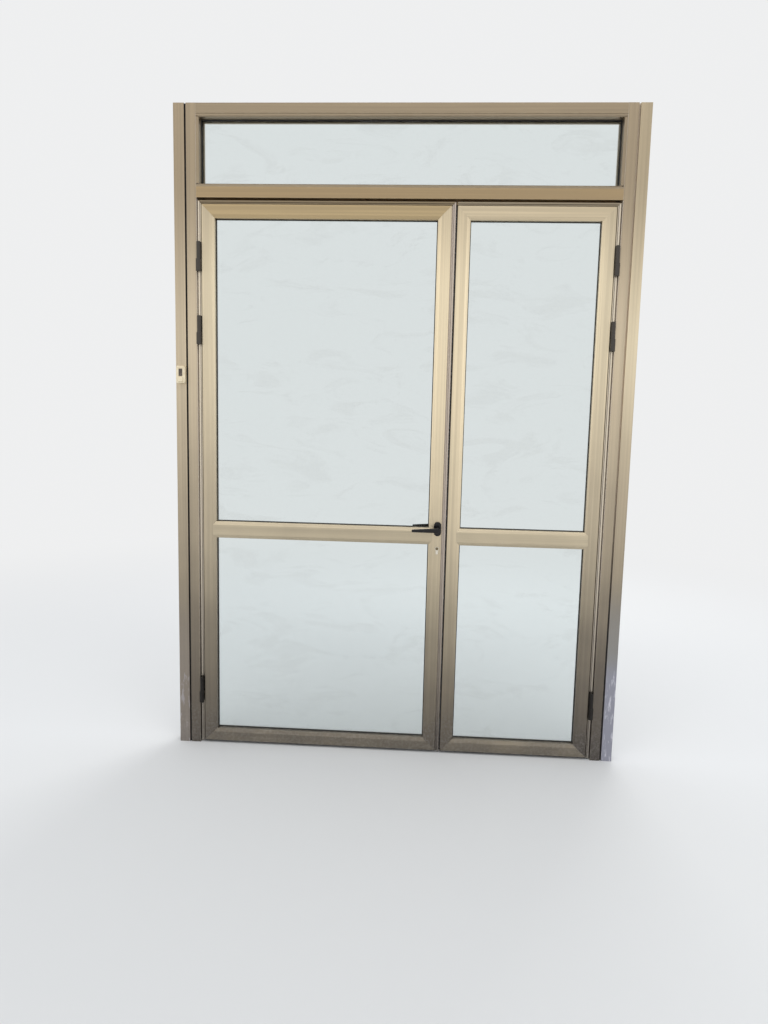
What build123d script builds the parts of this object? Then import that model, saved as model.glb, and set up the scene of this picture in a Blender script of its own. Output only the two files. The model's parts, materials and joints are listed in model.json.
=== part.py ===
from build123d import *
import os

# Double-leaf glass entrance door in hollow aluminium profiles, with its frame, a fixed
# light above the transom and the two side posts that the frame is packed against.
# X runs to the right seen from outside, the outside is towards -Y, Z is up.
# The origin is on the floor, in the middle of the door and of the leaf thickness.

# Frame
light_height = 282.0      # opening of the fixed light above the transom
clear_width = 1719.0      # between the two jamb faces
jamb_face = 40.5
post_face = 44.5
post_gap = 7.0            # packed gap between jamb and side post
frame_depth = 62.0
transom_bottom = 2335.0
transom_face = 43.0
head_face = 40.0
stop_height = 22.0        # how far the inner stop stands into the opening
groove_from = 12.0        # seal groove, from the foot of the stop
groove_width = 4.0
groove_depth = 3.0

# Leaves
leaf_depth = 48.0
stop_gap = 4.0            # between the closed leaf and the stop
hinge_gap = 3.5
top_gap = 8.0
floor_gap = 5.0
meeting_x = 205.0         # centre line of the gap between the leaves
meeting_gap = 5.0
face_width = 54.0
shoulder = 18.0           # recessed hardware shoulder round the leaf
foot_shoulder = 7.0
shoulder_step = 16.0      # shoulder floor behind the outer face
mid_rail_bottom = 928.0
mid_rail_face = 71.0

# Profile details
wall = 2.0
edge_ease = 0.6
bevel_width = 14.0
bevel_depth = 6.0
rebate = 20.0             # glass cover of the outer leg
leg_depth = 25.0
lip_a_width = 8.0
lip_chamfer = 1.2
lip_a_step = 8.0
lip_b_width = 3.8
lip_b_step = 8.5
slot_width = 2.2
mitre_gap = 0.1           # each end stops short of its mitre or cope by this
hardware_groove = 2.0     # depth of the groove in the meeting edge of the side leaf
cleat_arm = 75.0
cleat_depth = 11.4        # in front of the groove of the meeting stile
fit = 0.2                 # clearance of a piece pushed into a profile

# Glass, beads and gaskets
glass_thickness = 6.0
glass_inset = 4.0         # glass edge to pocket wall
outer_gasket = 4.0
inner_gasket = 3.0
gasket_width = 14.0
gasket_show = 3.5         # gasket seen past the leg
light_gasket_width = 10.0
bead_height = 20.0
bead_wall = 1.5
bead_chamfer = 4.0
transom_bead_height = 12.0
transom_bead_setback = 2.0
seal_head_width = 7.0
seal_head = 2.9
seal_stem_play = 0.2
brush_width = 4.0
brush_floor_clearance = 1.0
brush_setback = 24.0      # ends of a bottom brush, from the ends of its leaf
bottom_brush_y = 12.0
meeting_brush = 3.4
meeting_brush_y = -12.0

# Hinges
hinge_low = 246.0         # lowest hinge over the floor
hinge_drops = (523.0, 226.0)  # the upper hinges under the top of the leaf
hinge_height = 118.0
hinge_lower = 50.0        # height of the frame knuckle
knuckle_radius = 8.5
knuckle_gap = 0.4
knuckle_end = 7.0         # solid end of each knuckle
knuckle_chamfer = 1.5
pin_radius = 4.0
running_clearance = 0.05
axis_proud = 8.0          # hinge axis in front of the leaf face
hinge_plate = 3.0
frame_plate_depth = 32.0
neck_height = 30.0
neck_width = 9.0

# Screws
screw_radius = 2.5
screw_head_radius = 4.5
screw_head_height = 2.4
recess_width = 1.1        # cross recess of a screw head
recess_depth = 1.3
hinge_screw_length = 16.0
hinge_screw_inset = 9.0   # from the ends of a hinge plate
clamp_play = 0.2
frame_screw_radius = 3.0
frame_screw_head_radius = 5.5
frame_screw_head_height = 3.0
frame_screw_tip = 8.0     # reach past the wall of the post
frame_screw_heights = (130.0, 960.0, 1600.0)
frame_screw_drop = 85.0   # top frame screw under the transom
fixing_y = 7.0
packer_depth = 30.0
packer_height = 60.0
joint_strip_front = 10.0  # depth of the groove between jamb and post
joint_strip_depth = 5.0
anchor_radius = 4.25
anchor_end = 150.0        # from the ends of the post
anchor_count = 4

# Lock and handles
lock_y = 2.0
backset = 35.0
handle_rise = 68.0        # handle axis over the bottom of the middle rail
cylinder_drop = 85.0      # handle axis to cylinder axis
case_thickness = 15.0
case_above = 45.0         # case above the handle axis
case_below = 31.0         # case below the cylinder axis
case_wall = 1.2
lug_length = 18.0
lug_depth = 10.0
lug_thickness = 8.0
faceplate_width = 20.0
hardware_width = 20.4     # groove for the plates of the side leaf
spindle_size = 8.0
spindle_play = 0.05
follower_radius = 9.0
latch_height = 16.0
latch_thickness = 10.0
latch_hold = 13.0         # length that stays in the case when the latch is out
latch_throw = 11.0
latch_tip = 8.0
bolt_drop = 47.0          # handle axis to dead bolt centre
bolt_height = 24.0
bolt_thickness = 10.0
bolt_hold = 20.0
bolt_throw = 20.0
bolt_play = 0.1
bolt_corner = 1.5
rose_width = 31.0
rose_height = 61.0
rose_thickness = 8.0
rose_round = 2.5
rose_screw_offset = 21.5
neck_radius = 8.0
neck_play = 1.0           # round the neck, in the walls of the leaf
lever_reach = 58.0        # lever front from the leaf face
lever_length = 108.0
lever_root_height = 20.0
lever_root_depth = 13.0
lever_mid_height = 16.0
lever_tip_height = 11.5
lever_tip_depth = 9.5
lever_droop = 3.5         # tip of the grip below its root
lever_mid_share = 0.45    # where the middle section of the grip stands
lever_rounding = 0.35     # corner radius of the grip, as a share of its thinner side
lever_socket = 24.0
cylinder_radius = 8.5
cylinder_height = 33.0
cylinder_stem = 10.0
cylinder_proud = 3.0
plug_radius = 6.5
cam_width = 10.0
cam_radius = 13.2
cam_thickness = 7.0
cam_play = 0.5
keyway_width = 2.0
keyway_height = 8.5
keyway_depth = 16.0

# Side leaf hardware
plate_screw_tip = 4.0     # reach of a plate screw past the wall
strike_height = 170.0
strike_play = 1.5
flush_rod_radius = 5.0
flush_rod_inset = 17.0    # rod centre from the meeting edge
flush_rod_length = 190.0
flush_tip_inset = 1.0
flush_tab_inset = 0.2     # finger tab behind the meeting edge
flush_throw = 20.0
flush_tab_height = 18.0
flush_tab_width = 8.0
flush_plate_height = 120.0
flush_play = 0.3

# Bell push on the left post
bell_width = 39.0
bell_height = 72.0
bell_depth = 20.0
bell_round = 8.0
bell_z = 1618.5
bell_window_width = 16.0
bell_window_height = 31.0
bell_window_depth = 1.5
bell_window_rise = 9.0
bell_button_width = 20.0
bell_button_height = 21.0
bell_button_depth = 9.0
bell_button_drop = 19.5
bell_button_proud = 3.0
bell_button_play = 0.3
bell_button_round = 4.0
bell_window_round = 1.5
bell_edge_round = 3.0
bell_travel = 1.5

# Planes and lines that several pieces share
y_out = -leaf_depth / 2
y_in = leaf_depth / 2
y_back = y_out + frame_depth
y_stop = y_in + stop_gap
y_floor = y_out + shoulder_step
y_leg = y_out + leg_depth
y_glass = y_leg + outer_gasket
y_bead = y_glass + glass_thickness + inner_gasket
half_clear = clear_width / 2
half_jamb = half_clear + jamb_face
half_post = half_jamb + post_gap
half_width = half_post + post_face
leaf_top = transom_bottom - top_gap
frame_height = transom_bottom + transom_face + light_height + head_face
handle_height = mid_rail_bottom + handle_rise
hinge_heights = [hinge_low] + [leaf_top - drop for drop in hinge_drops]
anchor_pitch = (frame_height - 2 * anchor_end) / (anchor_count - 1)
main_x = (-half_clear + hinge_gap, meeting_x - meeting_gap / 2)
side_x = (meeting_x + meeting_gap / 2, half_clear - hinge_gap)
transom_top = transom_bottom + transom_face
hinge_x = half_clear - (hinge_gap + shoulder) / 2
hinge_y = y_out - axis_proud
lock_x = main_x[1] - backset
cylinder_z = handle_height - cylinder_drop
flush_x = side_x[0] + flush_rod_inset
rib_from = lip_a_width + slot_width
BIG = 400.0


def profile_bar(outer, chambers, length):
    """Hollow extrusion along Z, its section given as points (across, depth)."""
    section = Polygon(*outer, align=None)
    for chamber in chambers:
        section -= Polygon(*chamber, align=None)
    return extrude(section, amount=length, dir=(0, 0, 1))


def on_side(solid, side, x0, x1, z0, z1):
    """Turns an upright bar so that it lines one side of a rectangle."""
    if side == "left":
        return Pos(x0, 0, z0) * solid
    if side == "right":
        return Pos(x1, 0, z0) * mirror(solid, about=Plane.YZ)
    if side == "top":
        return Pos(x0, 0, z1) * Rot(0, 90, 0) * solid
    return Pos(x1, 0, z0) * Rot(0, -90, 0) * solid


def block(x0, x1, y0, y1, z0, z1):
    """Box given by its two corners."""
    return Pos((x0 + x1) / 2, (y0 + y1) / 2, (z0 + z1) / 2) * Box(x1 - x0, y1 - y0, z1 - z0)


def rod_y(radius, x, z, y0, y1):
    """Cylinder along Y."""
    return Pos(x, (y0 + y1) / 2, z) * Rot(90, 0, 0) * Cylinder(radius, y1 - y0)


def rod_x(radius, y, z, x0, x1):
    """Cylinder along X."""
    return Pos((x0 + x1) / 2, y, z) * Rot(0, 90, 0) * Cylinder(radius, x1 - x0)


def rod_z(radius, x, y, z0, z1):
    """Cylinder along Z."""
    return Pos(x, y, (z0 + z1) / 2) * Cylinder(radius, z1 - z0)


def plate_y(outline, y0, y1):
    """A sketch drawn in X and Z, made into a plate from y0 to y1."""
    return Pos(0, y1, 0) * extrude(Plane.XZ * outline, amount=y1 - y0, dir=(0, -1, 0))


def ring(x0, x1, z0, z1, width, y0, y1):
    """Flat rectangular ring, its width measured inwards from the outer rectangle."""
    hole = block(x0 + width, x1 - width, y0 - 1, y1 + 1, z0 + width, z1 - width)
    return block(x0, x1, y0, y1, z0, z1) - hole


def cross_recess(top, length):
    """Cross for the screwdriver, sunk into a head whose top is at Z = top."""
    bars = [Box(length, recess_width, recess_depth), Box(recess_width, length, recess_depth)]
    return Pos(0, 0, top + recess_depth / 2) * (bars[0] + bars[1])


def pan_screw(radius, head_radius, head_height, length):
    """Pan-head screw along +Z: the head is below Z = 0, the shank above."""
    head = Pos(0, 0, -head_height / 2) * Cylinder(head_radius, head_height)
    head = chamfer(head.edges().sort_by(Axis.Z)[0], head_height / 3)
    head -= cross_recess(-head_height, head_radius)
    return head + Pos(0, 0, length / 2) * Cylinder(radius, length)


def flat_body(radius, head_radius, head_height, length):
    """Countersunk form along +Z: its flat head starts at Z = 0."""
    cone = Pos(0, 0, head_height / 2) * Cone(head_radius, radius, head_height)
    return cone + Pos(0, 0, length / 2) * Cylinder(radius, length)


def flat_screw(head_height, length):
    """Countersunk screw, and the seat that it is driven into."""
    screw = flat_body(screw_radius, screw_head_radius, head_height, length)
    screw -= cross_recess(0, screw_head_radius)
    play = running_clearance
    return screw, flat_body(screw_radius + play, screw_head_radius + play, head_height, length + 1)


hinge_screw, hinge_screw_seat = flat_screw(screw_head_height, hinge_screw_length)


# Leaf profiles

def leg_chamber(edge, way):
    """Chamber of the outer leg: edge is the glass edge, way is +1 when the glass is above it."""
    return [
        (edge - way * rebate, y_out + wall),
        (edge - way * (bevel_width + wall / 2), y_out + wall),
        (edge - way * wall, y_out + bevel_depth + wall / 2),
        (edge - way * wall, y_leg - wall),
        (edge - way * rebate, y_leg - wall),
    ]


def groove_points(shallow, deep, grow):
    """The groove for strikes and bolt plates, or the chamber wall behind it."""
    a, b = lock_y + hardware_width / 2 + grow, lock_y - hardware_width / 2 - grow
    return [(shallow, a), (deep, a), (deep, b), (shallow, b)]


def leaf_section(own, lips):
    """Section of a leaf profile: own is its shoulder, lips are the two lips of the groove."""
    edge = own + face_width
    outer = [(0, y_in)]
    if lips:
        lip_a, lip_b = y_out + lip_a_step, y_out + lip_b_step
        outer += [(0, lip_a + lip_chamfer), (lip_chamfer, lip_a)]
        outer += [(lip_a_width, lip_a), (lip_a_width, lip_a + wall)]
        outer += [(wall, lip_a + wall), (wall, y_floor), (rib_from + wall / 2, y_floor)]
        outer += [(rib_from + wall / 2, lip_b + wall), (rib_from, lip_b + wall)]
        outer += [(rib_from, lip_b), (rib_from + lip_b_width, lip_b)]
        outer += [(rib_from + lip_b_width, lip_b + wall)]
        outer += [(rib_from + lip_b_width - wall / 2, lip_b + wall)]
        outer += [(rib_from + lip_b_width - wall / 2, y_floor)]
    elif own:
        outer += [(0, y_floor)]
    else:
        outer += groove_points(0, hardware_groove, 0)
    if own:
        outer += [(own, y_floor)]
    outer += [(own, y_out + edge_ease), (own + edge_ease, y_out)]
    outer += [(edge - bevel_width, y_out), (edge, y_out + bevel_depth), (edge, y_leg)]
    outer += [(edge - rebate, y_leg), (edge - rebate, y_in)]
    inner = edge - rebate - wall
    tube = [(wall, y_in - wall)]
    if own:
        tube += [(wall, y_floor + wall), (own + wall, y_floor + wall)]
    else:
        tube += groove_points(wall, hardware_groove + wall, wall)
    tube += [(own + wall, y_out + wall), (inner, y_out + wall), (inner, y_in - wall)]
    return outer, [tube, leg_chamber(edge, 1)]


def mitred(solid, length, own, start, end):
    """Cuts both ends at 45 degrees through the face corners of the profiles that meet there."""
    far = own + face_width + 1
    for corner, near_end in ((start, True), (end, False)):
        rise = corner - own + mitre_gap
        outline = [(-1, rise - 1), (far, far + rise), (far, -BIG), (-1, -BIG)]
        if not near_end:
            outline = [(u, length - z) for u, z in outline]
        solid -= extrude(Plane.XZ * Polygon(*outline, align=None), amount=BIG, both=True)
    return solid


def leaf_bar(side, box, own, lips, start, end):
    """One mitred member of a leaf."""
    x0, x1, z0, z1 = box
    length = x1 - x0 if side in ("top", "bottom") else z1 - z0
    bar = profile_bar(*leaf_section(own, lips), length)
    return on_side(mitred(bar, length, own, start, end), side, *box)


def mid_rail(x0, x1):
    """Rail between the two panes, coped over the bevels of the stiles at x0 and x1."""
    top = mid_rail_face
    outer = [(rebate, y_in), (rebate, y_leg), (0, y_leg), (0, y_out + bevel_depth)]
    outer += [(bevel_width, y_out), (top - bevel_width, y_out), (top, y_out + bevel_depth)]
    outer += [(top, y_leg), (top - rebate, y_leg), (top - rebate, y_in)]
    tube = [
        (rebate + wall, y_in - wall),
        (rebate + wall, y_out + wall),
        (top - rebate - wall, y_out + wall),
        (top - rebate - wall, y_in - wall),
    ]
    chambers = [tube, leg_chamber(0, -1), leg_chamber(top, 1)]
    length = x1 - x0 + 2 * rebate
    rail = profile_bar(outer, chambers, length)
    past = rebate + mitre_gap
    cope = [(-1, y_leg + mitre_gap), (past, y_leg + mitre_gap), (past, y_out + bevel_depth)]
    cope += [(past - bevel_width, y_out), (past - bevel_width, -BIG), (-1, -BIG)]
    for points in (cope, [(length - x, y) for x, y in cope]):
        wedge = Plane.XY * Polygon(*points, align=None)
        rail -= Rot(0, -90, 0) * extrude(wedge, amount=BIG, both=True)
    rail = Rot(0, -90, 0) * rail
    return Pos(x1 + rebate, 0, mid_rail_bottom) * rail


def bead_bar(height, y0, y1, front, length):
    """Hollow glazing bead, chamfered on the corner that shows."""
    cut = -bead_chamfer if front else bead_chamfer
    show, hide = (y0, y1) if front else (y1, y0)
    outer = [(0, hide), (height, hide), (height, show - cut), (height - bead_chamfer, show)]
    outer += [(0, show)]
    section = Polygon(*outer, align=None)
    section -= offset(section, amount=-bead_wall)
    return extrude(section, amount=length, dir=(0, 0, 1))


def bead_set(x0, x1, z0, z1, height, y0, y1, front):
    """Four beads round a pocket: the level ones run through, the upright ones stand between."""
    level = bead_bar(height, y0, y1, front, x1 - x0)
    upright = bead_bar(height, y0, y1, front, z1 - z0 - 2 * height)
    beads = [on_side(level, side, x0, x1, z0, z1) for side in ("bottom", "top")]
    beads += [on_side(upright, side, x0, x1, z0 + height, z1 - height) for side in ("left", "right")]
    return beads


def pane(x0, x1, z0, z1):
    """Glass, gaskets and beads of one pane, given the opening between the legs."""
    cover = rebate - glass_inset
    glass = block(x0 - cover, x1 + cover, y_glass, y_glass + glass_thickness, z0 - cover, z1 + cover)
    show = gasket_show - gasket_width
    sides = (x0 + show, x1 - show, z0 + show, z1 - show)
    outer = ring(*sides, gasket_width, y_leg, y_glass)
    back = bead_height - rebate - (gasket_width - gasket_show)
    sides = (x0 + back, x1 - back, z0 + back, z1 - back)
    inner = ring(*sides, gasket_width - gasket_show, y_glass + glass_thickness, y_bead)
    pocket = (x0 - rebate, x1 + rebate, z0 - rebate, z1 + rebate)
    return glass, [outer, inner], bead_set(*pocket, bead_height, y_bead, y_in, False)


def cleat(x, z, way_x, way_z):
    """Corner cleat in the front chamber: x and z are the corner of the outer face."""
    near, far = wall + fit, face_width - rebate - wall - fit
    points = [(near, near), (cleat_arm, near), (cleat_arm, far), (far, far), (far, cleat_arm)]
    points += [(near, cleat_arm)]
    outline = Polygon(*[(x + way_x * p, z + way_z * q) for p, q in points], align=None)
    front = y_out + wall + fit
    return plate_y(outline, front, front + cleat_depth)


def build_leaf(x0, x1, left, right):
    """Profiles, panes and cleats of one leaf: left and right are the shoulders of its stiles."""
    box = (x0, x1, floor_gap, leaf_top)
    piece = {
        "left": leaf_bar("left", box, left, left > 0, foot_shoulder, shoulder),
        "right": leaf_bar("right", box, right, right > 0, foot_shoulder, shoulder),
        "top": leaf_bar("top", box, shoulder, True, left, right),
        "bottom": leaf_bar("bottom", box, foot_shoulder, False, right, left),
    }
    xa, xb = x0 + left + face_width, x1 - right - face_width
    za = floor_gap + foot_shoulder + face_width
    zb = leaf_top - shoulder - face_width
    piece["mid"] = mid_rail(xa, xb)
    low = pane(xa, xb, za, mid_rail_bottom)
    high = pane(xa, xb, mid_rail_bottom + mid_rail_face, zb)
    piece["lower_glass"], piece["upper_glass"] = low[0], high[0]
    piece["gaskets"] = low[1] + high[1]
    piece["beads"] = low[2] + high[2]
    corners = [(x0 + left, 1), (x1 - right, -1)]
    levels = [(floor_gap + foot_shoulder, 1), (leaf_top - shoulder, -1)]
    piece["cleats"] = [cleat(x, z, wx, wz) for x, wx in corners for z, wz in levels]
    piece["brush"] = block(
        x0 + brush_setback,
        x1 - brush_setback,
        bottom_brush_y - brush_width / 2,
        bottom_brush_y + brush_width / 2,
        brush_floor_clearance,
        floor_gap,
    )
    return piece


# Frame profiles

def frame_section(face, groove):
    """Jamb or head: a tube with the inner stop standing out of it."""
    end = face + stop_height
    outer = [(0, y_back), (0, y_out + edge_ease), (edge_ease, y_out), (face - edge_ease, y_out)]
    outer += [(face, y_out + edge_ease), (face, y_stop)]
    if groove:
        a, b = face + groove_from, face + groove_from + groove_width
        outer += [(a, y_stop), (a, y_stop + groove_depth), (b, y_stop + groove_depth), (b, y_stop)]
    outer += [(end, y_stop), (end, y_back)]
    tube = [(wall, y_out + wall), (face - wall, y_out + wall)]
    tube += [(face - wall, y_back - wall), (wall, y_back - wall)]
    low = y_stop + (groove_depth if groove else 0) + wall
    hollow = [(face, low), (end - wall, low), (end - wall, y_back - wall), (face, y_back - wall)]
    return outer, [tube, hollow]


def transom_section():
    """Transom: a tube with a stop above it for the light and one below it for the leaves."""
    top, bottom = stop_height, stop_height + transom_face
    end = bottom + stop_height
    a, b = bottom + groove_from, bottom + groove_from + groove_width
    outer = [(0, y_stop), (top, y_stop), (top, y_out + edge_ease), (top + edge_ease, y_out)]
    outer += [(bottom - edge_ease, y_out), (bottom, y_out + edge_ease), (bottom, y_stop)]
    outer += [(a, y_stop), (a, y_stop + groove_depth), (b, y_stop + groove_depth), (b, y_stop)]
    outer += [(end, y_stop), (end, y_back), (0, y_back)]
    tube = [(top + wall, y_out + wall), (bottom - wall, y_out + wall)]
    tube += [(bottom - wall, y_back - wall), (top + wall, y_back - wall)]
    above = [(wall, y_stop + wall), (top, y_stop + wall), (top, y_back - wall), (wall, y_back - wall)]
    low = y_stop + groove_depth + wall
    below = [(bottom, low), (end - wall, low), (end - wall, y_back - wall), (bottom, y_back - wall)]
    return outer, [tube, above, below]


def between_jambs(section, top):
    """Level frame member, notched at both ends round the stops of the jambs."""
    bar = Pos(-half_clear, 0, top) * Rot(0, 90, 0) * profile_bar(*section, clear_width)
    for way in (-1, 1):
        x0, x1 = sorted((way * (half_clear - stop_height), way * (half_clear + 1)))
        bar -= block(x0, x1, y_stop, y_back + 1, 0, frame_height + 1)
    return bar


def stop_seal(length):
    """Seal with a stem in the groove of the stop and a soft head that meets the leaf."""
    middle = groove_from + groove_width / 2
    half_stem = (groove_width - seal_stem_play) / 2
    half_head = seal_head_width / 2
    outer = [
        (middle - half_stem, y_stop + groove_depth),
        (middle - half_stem, y_stop),
        (middle - half_head, y_stop),
        (middle - half_stem, y_stop - seal_head),
        (middle + half_stem, y_stop - seal_head),
        (middle + half_head, y_stop),
        (middle + half_stem, y_stop),
        (middle + half_stem, y_stop + groove_depth),
    ]
    return profile_bar(outer, [], length)


# Frame

jamb = profile_bar(*frame_section(jamb_face, True), frame_height)
left_jamb = on_side(jamb, "left", -half_jamb, half_jamb, 0, frame_height)
transom_bar = between_jambs(transom_section(), transom_top + stop_height)
head_rail = between_jambs(frame_section(head_face, False), frame_height)

post_outer = [
    (edge_ease, y_out),
    (post_face - edge_ease, y_out),
    (post_face, y_out + edge_ease),
    (post_face, y_back),
    (0, y_back),
    (0, y_out + edge_ease),
]
post_tube = [
    (wall, y_out + wall),
    (post_face - wall, y_out + wall),
    (post_face - wall, y_back - wall),
    (wall, y_back - wall),
]
left_post = Pos(-half_width, 0, 0) * profile_bar(post_outer, [post_tube], frame_height)
for i in range(anchor_count):
    z = anchor_end + i * anchor_pitch
    left_post -= rod_x(anchor_radius, fixing_y, z, -half_width - 1, -half_width + wall + 1)

packers, frame_screws = [], []
frame_screw_length = jamb_face + post_gap + wall + frame_screw_tip
long_screw = pan_screw(
    frame_screw_radius, frame_screw_head_radius, frame_screw_head_height, frame_screw_length
)
for z in frame_screw_heights + (transom_bottom - frame_screw_drop,):
    hole = rod_x(
        frame_screw_radius + running_clearance, fixing_y, z, -half_post - wall - 1, -half_clear + 1
    )
    left_jamb -= hole
    left_post -= hole
    y0 = fixing_y - packer_depth / 2
    z0 = z - packer_height / 2
    packer = block(-half_post, -half_jamb, y0, y0 + packer_depth, z0, z0 + packer_height)
    packers.append(packer - hole)
    frame_screws.append(Pos(-half_clear, fixing_y, z) * Rot(0, -90, 0) * long_screw)

light_low, light_high = transom_top, frame_height - head_face
light = (-half_clear, half_clear, light_low, light_high)
y_light = y_stop - outer_gasket - glass_thickness
edge = glass_inset + 1
transom_glass = block(
    light[0] + edge,
    light[1] - edge,
    y_light,
    y_light + glass_thickness,
    light[2] + edge,
    light[3] - edge,
)
front_bead = y_out + transom_bead_setback
transom_beads = bead_set(*light, transom_bead_height, front_bead, y_light - inner_gasket, True)


def light_ring(width, y0, y1):
    """Gasket of the fixed light, lying on the glass edge."""
    sides = (light[0] + edge, light[1] - edge, light[2] + edge, light[3] - edge)
    return ring(*sides, width, y0, y1)


transom_gaskets = [
    light_ring(transom_bead_height - edge + gasket_show, y_light - inner_gasket, y_light),
    light_ring(light_gasket_width, y_light + glass_thickness, y_stop),
]
jamb_seal = stop_seal(transom_bottom)
level_seal = stop_seal(clear_width - 2 * stop_height)
joint_strip = block(
    -half_post,
    -half_jamb,
    y_out + joint_strip_front,
    y_out + joint_strip_front + joint_strip_depth,
    0,
    frame_height,
)
seals = [
    joint_strip,
    mirror(joint_strip, about=Plane.YZ),
    on_side(jamb_seal, "left", -half_clear, half_clear, 0, transom_bottom),
    on_side(jamb_seal, "right", -half_clear, half_clear, 0, transom_bottom),
    Pos(-half_clear + stop_height, 0, transom_bottom) * Rot(0, 90, 0) * level_seal,
]

# Leaves

main = build_leaf(*main_x, shoulder, shoulder)
side = build_leaf(*side_x, 0, shoulder)

# Hinges, made for the left jamb and mirrored for the right one

leaf_edge = -half_clear + hinge_gap
lip_front = y_out + lip_a_step
clamp_x = leaf_edge + (wall + rib_from) / 2


def frame_hinge_half(z):
    """Lower knuckle with the plate that is screwed to the side of the jamb."""
    low, high = z - hinge_height / 2, z - hinge_height / 2 + hinge_lower
    knuckle = rod_z(knuckle_radius, -hinge_x, hinge_y, low, high)
    knuckle = chamfer(knuckle.edges().sort_by(Axis.Z)[0], knuckle_chamfer)
    plate = block(
        -half_clear,
        -half_clear + hinge_plate,
        hinge_y - hinge_plate,
        hinge_y - hinge_plate + frame_plate_depth,
        low,
        high,
    )
    neck = block(-half_clear, -hinge_x, hinge_y - hinge_plate, hinge_y + hinge_plate, low, high)
    half = knuckle + plate + neck
    half -= rod_z(pin_radius + running_clearance, -hinge_x, hinge_y, low + knuckle_end, high + 1)
    return half


def leaf_hinge_half(z):
    """Upper knuckle with the plate that lies on the lips of the leaf."""
    low = z - hinge_height / 2 + hinge_lower + knuckle_gap
    high = z + hinge_height / 2
    knuckle = rod_z(knuckle_radius, -hinge_x, hinge_y, low, high)
    knuckle = chamfer(knuckle.edges().sort_by(Axis.Z)[-1], knuckle_chamfer)
    plate = block(
        leaf_edge, leaf_edge + shoulder - 1, lip_front - hinge_plate, lip_front, low, high
    )
    middle = (low + high) / 2
    neck = block(
        -hinge_x - neck_width / 2,
        -hinge_x + neck_width / 2,
        hinge_y,
        lip_front - hinge_plate,
        middle - neck_height / 2,
        middle + neck_height / 2,
    )
    half = knuckle + plate + neck
    half -= rod_z(pin_radius + running_clearance, -hinge_x, hinge_y, low - 1, high - knuckle_end)
    return half


frame_halves, leaf_halves, pins, frame_plate_screws, leaf_plate_screws, clamps = [], [], [], [], [], []
for z in hinge_heights:
    low, high = z - hinge_height / 2, z + hinge_height / 2
    split = low + hinge_lower
    frame_half, leaf_half = frame_hinge_half(z), leaf_hinge_half(z)
    pins.append(
        rod_z(pin_radius, -hinge_x, hinge_y, low + knuckle_end, high - knuckle_end - knuckle_gap)
    )
    screw_y = hinge_y - hinge_plate + frame_plate_depth - hinge_screw_inset
    for zs in (low + hinge_screw_inset, split - hinge_screw_inset):
        place = Pos(-half_clear + hinge_plate, screw_y, zs) * Rot(0, -90, 0)
        frame_half -= place * hinge_screw_seat
        left_jamb -= place * hinge_screw_seat
        frame_plate_screws.append(place * hinge_screw)
    clamp = block(
        leaf_edge + wall + clamp_play,
        leaf_edge + rib_from - clamp_play,
        lip_front + wall,
        y_floor - clamp_play,
        split + knuckle_gap,
        high,
    )
    for zs in (split + knuckle_gap + hinge_screw_inset, high - hinge_screw_inset):
        place = Pos(clamp_x, lip_front - hinge_plate, zs) * Rot(-90, 0, 0)
        leaf_half -= place * hinge_screw_seat
        clamp -= place * hinge_screw_seat
        main["left"] -= place * hinge_screw_seat
        side["right"] -= mirror(place * hinge_screw_seat, about=Plane.YZ)
        leaf_plate_screws.append(place * hinge_screw)
    frame_halves.append(frame_half)
    leaf_halves.append(leaf_half)
    clamps.append(clamp)


def mirrored(solids):
    """The same solids on the other side of the door."""
    return [mirror(solid, about=Plane.YZ) for solid in solids]


right_jamb = mirror(left_jamb, about=Plane.YZ)
right_post = mirror(left_post, about=Plane.YZ)

# Lock of the main leaf

edge_x = main_x[1]
case_front = edge_x - wall
case_back = edge_x - shoulder - face_width + rebate + wall + fit
case_low, case_high = cylinder_z - case_below, handle_height + case_above
case_y = (lock_y - case_thickness / 2, lock_y + case_thickness / 2)


def euro_outline(grow):
    """Outline of the cylinder: a round head and a narrower stem below it."""
    stem = cylinder_height - 2 * cylinder_radius
    head = Pos(lock_x, cylinder_z) * Circle(cylinder_radius + grow)
    foot_z = cylinder_z + cylinder_radius - cylinder_height + cylinder_stem / 2
    foot = Pos(lock_x, foot_z) * Circle(cylinder_stem / 2 + grow)
    middle = Pos(lock_x, cylinder_z - cylinder_radius / 2 - stem / 2)
    return head + foot + middle * Rectangle(cylinder_stem + 2 * grow, cylinder_z - foot_z)


lock_case = block(case_back, case_front, *case_y, case_low, case_high)
lock_case -= block(
    case_back + case_wall,
    case_front + 1,
    case_y[0] + case_wall,
    case_y[1] - case_wall,
    case_low + case_wall,
    case_high - case_wall,
)
lug_y = (lock_y - lug_thickness / 2, lock_y + lug_thickness / 2)
for z0 in (case_low - lug_length, case_high):
    lock_case += block(case_front - lug_depth, case_front, *lug_y, z0, z0 + lug_length)
case_ways = plate_y(euro_outline(fit), *[y + d for y, d in zip(case_y, (-1, 1))])
case_ways += rod_y(
    follower_radius + running_clearance, lock_x, handle_height, case_y[0] - 1, case_y[1] + 1
)
for way in (-1, 1):
    z = handle_height + way * rose_screw_offset
    case_ways += rod_y(screw_radius + fit, lock_x, z, case_y[0] - 1, case_y[1] + 1)
lock_case -= case_ways

plate_y0, plate_y1 = lock_y - faceplate_width / 2, lock_y + faceplate_width / 2
plate_z0, plate_z1 = case_low - lug_length, case_high + lug_length
faceplate = block(case_front, edge_x, plate_y0, plate_y1, plate_z0, plate_z1)
bolt_z = handle_height - bolt_drop


def bolt_window(z, height, thickness, x0, x1, play):
    """Straight hole for a bolt through a plate."""
    half, deep = height / 2 + play, thickness / 2 + play
    return block(x0, x1, lock_y - deep, lock_y + deep, z - half, z + half)


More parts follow.
